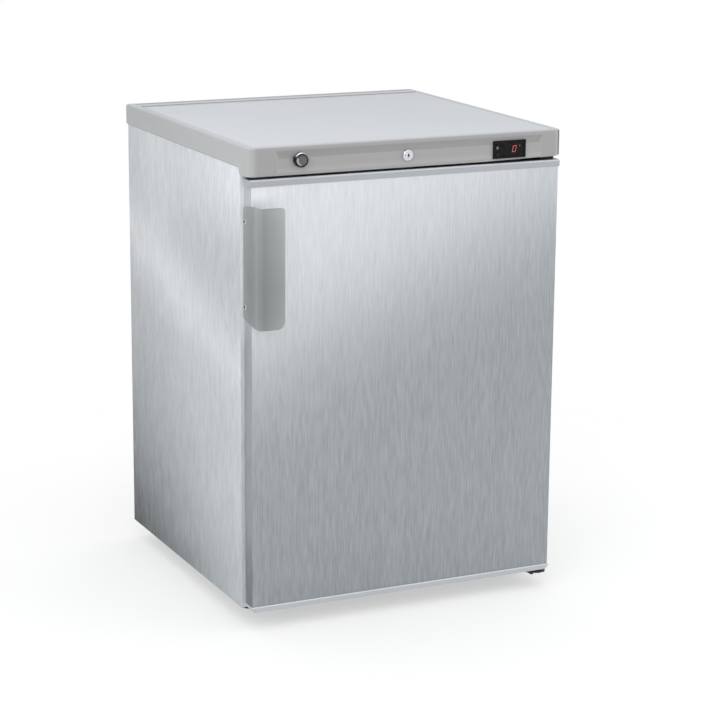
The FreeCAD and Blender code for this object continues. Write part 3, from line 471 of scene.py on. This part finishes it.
def side_painted_glow(mat):
    """Painted light: faint emission along the middle of the front flange."""
    x = mat.position()[X]
    across = abs(x).ramp((0.286, 0.2985), [(0.0, 0.0), (0.3, 0.35), (0.48, 0.55), (0.62, 1.0),
                                           (0.76, 1.0), (0.88, 0.5), (1.0, 0.0)])
    return across * mat.facing(Y) * 0.14


# ---------------------------------------------------------------- shading of single pieces
# Painted light on the worktop, as brightness against its sides: front, cove over the recess, rear
# of the sides, top.
FRONT_GAIN = 0.69
FRONT_COVE = 0.76
SIDE_FALL = 0.87
TOP_GAIN = 1.04


def front_share(mat):
    """1 on faces looking to the front, falling evenly round the vertical corners."""
    nx, ny, nz = mat.normals()
    corner = abs(mat.position()[X]).remap((0.266, 0.276), (0.3, 1.0))
    across = 1.0 - abs(nx).remap((0.0, 0.9)) * corner
    return across * ny.remap((-0.75, -0.1), (1, 0))


def worktop_painted_shade(mat):
    """Painted shade and light: front in half shade, the cove over the recess more so, a lighter
    band low in the recess, sides falling off to the rear, painted shade on the right front corner
    and painted light on the top, more to the rear.
    """
    x, y, z = mat.position()
    nx, ny, nz = mat.normals()
    front = front_share(mat)
    cove = nz.ease((-0.2, -0.03), (FRONT_COVE, 1.0))
    lip = z.ramp((0.801, 0.816), [(0.0, 0.98), (0.22, 0.98), (0.42, 1.1), (0.62, 1.08),
                                  (1.0, 1.0)])
    recess = y.remap((-0.2784, -0.2778)) * y.remap((-0.2768, -0.2762), (1, 0))
    low = 1.0 + recess * (lip * 1.03 - 1.0)
    sides = y.remap((-0.22, 0.31), (1.0, SIDE_FALL))
    shade = blend(front, sides, FRONT_GAIN * cove * low)
    right_corner = nx.ease((0.38, 0.56)) * ny.ease((-0.35, -0.1), (1, 0))
    shade = shade * (1.0 - right_corner * 0.72)
    upward = nz.ease((0.75, 0.97)) * z.remap((0.84, 0.846))
    return shade * blend(upward, 1.0, y.remap((0.2, 0.3), (TOP_GAIN, TOP_GAIN * 1.1)))


def worktop_painted_tint(mat):
    """Painted light as tint: neutral on the fascia and cooler on top, against the slightly green
    grey of the sides.
    """
    upward = mat.normals()[Z].ease((0.75, 0.97))
    cool = mat.mix(upward, rgb(179, 178, 178), rgb(177, 179, 183))
    return upward.at_least(front_share(mat)), cool


def inlay_painted_shade(mat):
    """Painted shade: darker to the right and to the rear."""
    x, y, z = mat.position()
    return x.remap((-0.27, 0.27), (1.02, 0.95)) * y.remap((-0.25, 0.25), (1.03, 0.95))


def handle_painted_shade(mat):
    """Painted shade and sheen: lighter and darker along the height, across the plate's width and
    along the depth of its left side.
    """
    x, y, z = mat.position()
    height = z.ramp((0.55, 0.75), [(0.0, 0.93), (0.12, 0.84), (0.35, 0.83), (0.75, 0.98),
                                   (0.92, 1.06), (1.0, 1.16)])
    plate = x.ramp((-0.297, -0.251), [(0.0, 0.86), (0.08, 0.8), (0.16, 0.7), (0.37, 0.79),
                                      (0.6, 0.87), (0.85, 0.98), (1.0, 1.08)])
    side = y.ramp((-0.321, -0.25), [(0.0, 0.81), (0.1, 0.85), (0.22, 0.89), (0.42, 0.72),
                                    (0.7, 0.73), (0.9, 0.84), (1.0, 0.9)])
    leftward = mat.normals()[X].ease((-0.75, -0.3), (1, 0))
    return height * blend(leftward, plate, side)


def collar_painted_reflection(mat):
    """Painted reflection on chrome: bright where faces look up, dark at the sides, partly bright
    where they look straight down, as a bright ceiling and dark surroundings would mirror.
    """
    nx, ny, nz = mat.normals()
    lit = (nz + nx * 0.25).ease((0.05, 0.5), (0.03, 1.0))
    return lit.at_least(nz.ease((-0.98, -0.8), (0.55, 0.0)))


def cap_painted_highlight(mat):
    """Painted highlight on the dark cap's bevel at the lower left, and painted shade on its
    sides.
    """
    nx, ny, nz = mat.normals()
    rim = ny.ease((-0.95, -0.85)) * ny.ease((-0.3, -0.55))
    aim = (nx * -0.8 + nz * -0.45).ease((0.25, 0.55), (0.35, 3.6))
    side = ny.ease((-0.5, -0.2), (1.0, 0.25))
    return side * (rim * aim + (1.0 - rim))


def screw_painted_shade(mat):
    """Painted shade at the centre of the two handle screws for their drive recess, leaving bright
    rims.
    """
    x, y, z = mat.position()
    low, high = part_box("handle_screws")
    radius = (high.y - low.y) / 2
    dark = None
    for center_z in (low.z + radius, high.z - radius):
        across = y - (high.y + low.y) / 2
        upward = z - center_z
        distance = (across * across + upward * upward).math("SQRT")
        recess = distance.ease((radius * 0.42, radius * 0.6), (1, 0))
        dark = dark.at_least(recess) if dark else recess
    return 1.0 - dark * 0.93


def keyway_painted_shade(mat):
    """Polished face, with painted shade inside the keyway."""
    return mat.position()[Y].remap((-0.28235, -0.2815), (1.0, 0.02))


def trim_painted_light(mat):
    """Painted light on the door's end mouldings: painted highlights along their front edges, the
    lower moulding painted lighter, and painted shade on the top face in the slit under the
    worktop.
    """
    x, y, z = mat.position()
    nx, ny, nz = mat.normals()
    low = z.remap((0.1, 0.2), (1, 0))
    head = z.ease((0.7936, 0.7948)) * z.ease((0.7967, 0.7971), (1, 0))
    foot = z.ease((0.0428, 0.044)) * low
    edge = head.at_least(foot) * y.ease((-0.2765, -0.278))
    shade = (1.0 + edge * 0.42) * (1.0 + low * 0.24)
    top = z.remap((0.7955, 0.7965)) * y.ease((-0.2785, -0.274))
    slit = nz.ease((0.6, 0.9)) * top
    return shade * (1.0 - slit * 0.8)


# ---------------------------------------------------------------- materials
CHROME = rgb(222, 224, 228)

# Worktop, inlay, handle, trim, collar, cap, screw head and keyway materials take painted light
# and shade from the shading functions above.
plastic("worktop_plastic", rgb(177, 180, 179), rough=0.42, grain=1200, grain_depth=0.00002,
        mottled=0.012, bevel=0.001, light_paint=worktop_painted_shade, tint=worktop_painted_tint)
plastic("worktop_inlay", rgb(189, 192, 196), rough=0.38, grain=800, mottled=0.015,
        bevel=0.0006, light_paint=inlay_painted_shade)
plastic("handle_plastic", rgb(150, 154, 154), rough=0.42, grain_depth=0.00004,
        mottled=0.015, light_paint=handle_painted_shade)
plastic("trim_plastic", rgb(160, 163, 167), rough=0.33, grain=1200, grain_depth=0.00002,
        mottled=0.015, coat=0.3, light_paint=trim_painted_light)
steel("door_steel", door_painted_light, door_matt, streak=0.05, pitch=340.0, reach=0.075)
steel("side_steel", side_painted_light, side_matt, streak=0.062, pitch=145.0, reach=0.2,
      glow=side_painted_glow)
enamel("foot_steel", rgb(24, 24, 25), rough=0.5)
metal("galvanised", rgb(176, 180, 183), rough=0.42, scratch=0.03, spangle=0.09)
enamel("black_steel", rgb(26, 26, 27), rough=0.45)
plastic("white_abs", rgb(232, 233, 231), rough=0.34, grain=700, grain_depth=0.000006,
        mottled=0.012, bevel=0.0015)
foam("foam")
rubber("gasket_rubber", rgb(104, 106, 108), rough=0.6)
rubber("black_rubber", rgb(30, 30, 31))
plastic("black_plastic", rgb(20, 20, 21), grain_depth=0.00004, mottled=0.05, bevel=0.0005,
        spec=0.12)
plastic("dark_cap", rgb(70, 70, 74), rough=0.35, grain=1500, grain_depth=0.00002,
        bevel=0.0005, spec=0.3)
metal("collar", CHROME, rough=0.14, light_paint=collar_painted_reflection)
plastic("cap", rgb(92, 92, 96), rough=0.3, grain=1500, grain_depth=0.00002, bevel=0.0003,
        spec=0.3, light_paint=cap_painted_highlight)
metal("screw_head", rgb(182, 184, 187), rough=0.26, scratch=0.03, light_paint=screw_painted_shade)
metal("keyway_plug", CHROME, rough=0.14, light_paint=keyway_painted_shade)
plastic("key_dim", rgb(38, 38, 40), mottled=0.05, bevel=0.0003, spec=0.15)
plastic("key_light", rgb(104, 104, 108), rough=0.4, mottled=0.05, bevel=0.0003, spec=0.2)
metal("chrome", CHROME, rough=0.12)
metal("zinc", rgb(190, 192, 192), rough=0.3, scratch=0.05)
enamel("shelf_wire", rgb(226, 228, 228), rough=0.3, peel=0.00004)
metal("copper", rgb(196, 128, 92), rough=0.3, scratch=0.08)
enamel("black_enamel", rgb(30, 30, 32), rough=0.3, peel=0.00008, dust=0.25)
metal("evaporator_alu", rgb(206, 208, 210), rough=0.35, scratch=0.04, stretch=(1, 1, 0.05))
plastic("white_nylon", rgb(214, 214, 208), grain_depth=0.00002, mottled=0.02, bevel=0.0004)
metal("steel_probe", rgb(200, 202, 205), rough=0.18, scratch=0.03)
plastic("display", rgb(26, 10, 11), rough=0.25, grain_depth=0.00001, mottled=0.05, bevel=0.0)
smoked_window("window")

# Nodes that take another material than their CAD slot says.
SPECIAL = {
    "handle_screws": "screw_head",
    "switch_body": "collar",
    "switch_cap": "cap",
    "lock_plug": "keyway_plug",
    "controller_key_set": "key_light",
    "controller_key_down": "key_dim",
}
slots = {part["node"]: part["material_slot"] for part in frame["record"]["subparts"]}
for name, piece in frame["nodes"].items():
    piece.data.materials.clear()
    piece.data.materials.append(MATERIALS[SPECIAL.get(name, slots[name])])


# ---------------------------------------------------------------- lit readout
def add_mesh(name, verts, faces, material):
    data = bpy.data.meshes.new(name)
    data.from_pydata(verts, [], faces)
    data.update()
    piece = bpy.data.objects.new(name, data)
    scene.collection.objects.link(piece)
    data.materials.append(material)
    return piece


BAR_THICKNESS = 0.0009
BAR_GAP = 0.12  # space left at each bar end, in bar thicknesses
FIGURE_LEAN = 0.2  # shift to the right per height
# Distance of the bars' front and back before the display's face.
BAR_FRONT, BAR_BACK = 0.0002, 0.00002
# Bar ends (x, z, x, z) in half widths and half heights of the figure.
BARS = {
    "a": (-1, 1, 1, 1), "b": (1, 1, 1, 0), "c": (1, 0, 1, -1), "d": (-1, -1, 1, -1),
    "e": (-1, 0, -1, -1), "f": (-1, 1, -1, 0), "g": (-1, 0, 1, 0),
}
display_low, display_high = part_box("controller_display")
display_z = (display_low.z + display_high.z) / 2


def segments(name, center_x, center_z, width, height, letters, material):
    """A seven-segment figure as thin six-sided bars, leaning slightly."""
    verts, faces = [], []
    for letter in letters:
        x0, z0, x1, z1 = BARS[letter]
        start = Vector((x0 * width / 2, z0 * height / 2))
        end = Vector((x1 * width / 2, z1 * height / 2))
        along = (end - start).normalized()
        side = Vector((-along.y, along.x)) * BAR_THICKNESS / 2
        gap = along * BAR_THICKNESS * BAR_GAP
        point = along * BAR_THICKNESS / 2
        start, end = start + gap, end - gap
        ring = [start, start + point + side, end - point + side,
                end, end - point - side, start + point - side]
        base = len(verts)
        for y in (display_low.y - BAR_FRONT, display_low.y - BAR_BACK):
            for p in ring:
                verts.append((center_x + p.x + FIGURE_LEAN * p.y, y, center_z + p.y))
        faces.append([base + i for i in range(6)])
        faces.append([base + 6 + i for i in reversed(range(6))])
        for i in range(6):
            j = (i + 1) % 6
            faces.append([base + i, base + 6 + i, base + 6 + j, base + j])
    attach(add_mesh(name, verts, faces, material), "cabinet")


segments("digit_zero", center_x=0.2035, center_z=display_z + 0.0004, width=0.0060,
         height=0.0106, letters="abcdef",
         material=light_segment("segment_lit", (1.0, 0.24, 0.3), power=3.8))
segments("degree_mark", center_x=0.2140, center_z=display_z + 0.0048, width=0.0024,
         height=0.0024, letters="abef",
         material=light_segment("segment_dim", (1.0, 0.3, 0.34), power=2.1))


# ---------------------------------------------------------------- floor, world, lights
FLOOR_HALF = 30.0
FLOOR_DROP = 0.0002  # keeps the floor just under the feet


def floor_paint():
    """Near white; half clear to the camera near the cabinet and fully clear further out."""
    mat = Mat("floor_paint")
    drift = mat.noise(scale=1.5, detail=3.0).remap(NARROW, (0.985, 1.0))
    paint = mat.value("BsdfPrincipled", {
        "Base Color": mat.scale_color((0.93, 0.93, 0.93), drift),
        "Roughness": 0.9,
        "Specular IOR Level": 0.1,
    })
    clear = mat.value("BsdfTransparent")
    distance = mat.value("VectorMath", {0: mat.place}, "Value", operation="LENGTH")
    clearness = mat.camera_ray() * distance.ease((0.6, 1.9), (0.5, 1))
    return mat.finish(mat.mix_shader(clearness, paint, clear))


corners = [(x * FLOOR_HALF, y * FLOOR_HALF, 0) for x, y in ((-1, -1), (1, -1), (1, 1), (-1, 1))]
floor = add_mesh("floor", corners, [[0, 1, 2, 3]], floor_paint())
floor.location.z = -FLOOR_DROP


def studio_world():
    """White to the camera; a soft gradient from below to above for everything else."""
    world = bpy.data.worlds.new("studio")
    scene.world = world
    world.use_nodes = True
    graph = Graph(world.node_tree)
    direction = graph.value("TexCoord", output="Generated")
    upward = graph.value("SeparateXYZ", {0: direction}, "Z")
    sky = upward.ramp((-1, 1), [(0.0, (0.45, 0.45, 0.46)), (0.5, (0.62, 0.625, 0.64)),
                                (0.72, (0.9, 0.905, 0.92)), (1.0, (1.0, 1.0, 1.0))])
    light = graph.value("Background", {"Color": sky, "Strength": 0.95})
    white = graph.value("Background", {"Color": (1, 1, 1, 1), "Strength": 1.0})
    graph.node("OutputWorld", {0: graph.mix_shader(graph.camera_ray(), light, white)})


def area_light(name, place, target, size, power):
    """Square area light aimed at a point."""
    data = bpy.data.lights.new(name, "AREA")
    data.shape = "RECTANGLE"
    data.size = data.size_y = size
    data.energy = power
    lamp = bpy.data.objects.new(name, data)
    lamp.location = place
    lamp.rotation_mode = "QUATERNION"
    lamp.rotation_quaternion = (Vector(target) - Vector(place)).to_track_quat("-Z", "Y")
    scene.collection.objects.link(lamp)


studio_world()
area_light("key", (-2.6, -3.4, 3.6), target=(0, 0, 0.5), size=3.6, power=70)
area_light("fill", (3.2, -2.8, 2.2), target=(0, 0, 0.5), size=3.0, power=26)
area_light("top", (0.0, 0.4, 4.2), target=(0, 0, 0.8), size=3.6, power=30)

# ---------------------------------------------------------------- camera
LENS, SENSOR = 116.5, 36.0  # millimetres
CAMERA_PLACE = (-1.7664, -3.8176, 1.4425)
YAW = math.radians(25.326)  # from +Y towards +X
PITCH = math.radians(13.956)  # downwards
ROLL = math.radians(0.460)


def add_camera():
    forward = Vector((math.sin(YAW) * math.cos(PITCH), math.cos(YAW) * math.cos(PITCH),
                      -math.sin(PITCH)))
    level = Vector((math.cos(YAW), -math.sin(YAW), 0))
    upright = level.cross(forward)
    right = level * math.cos(ROLL) + upright * math.sin(ROLL)
    up = upright * math.cos(ROLL) - level * math.sin(ROLL)
    data = bpy.data.cameras.new("camera")
    camera = bpy.data.objects.new("camera", data)
    scene.collection.objects.link(camera)
    data.sensor_width = SENSOR
    data.lens = LENS
    data.clip_start, data.clip_end = 0.05, 100
    columns = zip(right, up, -forward, CAMERA_PLACE)
    camera.matrix_world = Matrix((*columns, (0, 0, 0, 1)))
    scene.camera = camera


add_camera()
scene.view_settings.view_transform = "Standard"
scene.view_settings.look = "None"
scene.view_settings.exposure = 0.0
scene.view_settings.gamma = 1.0
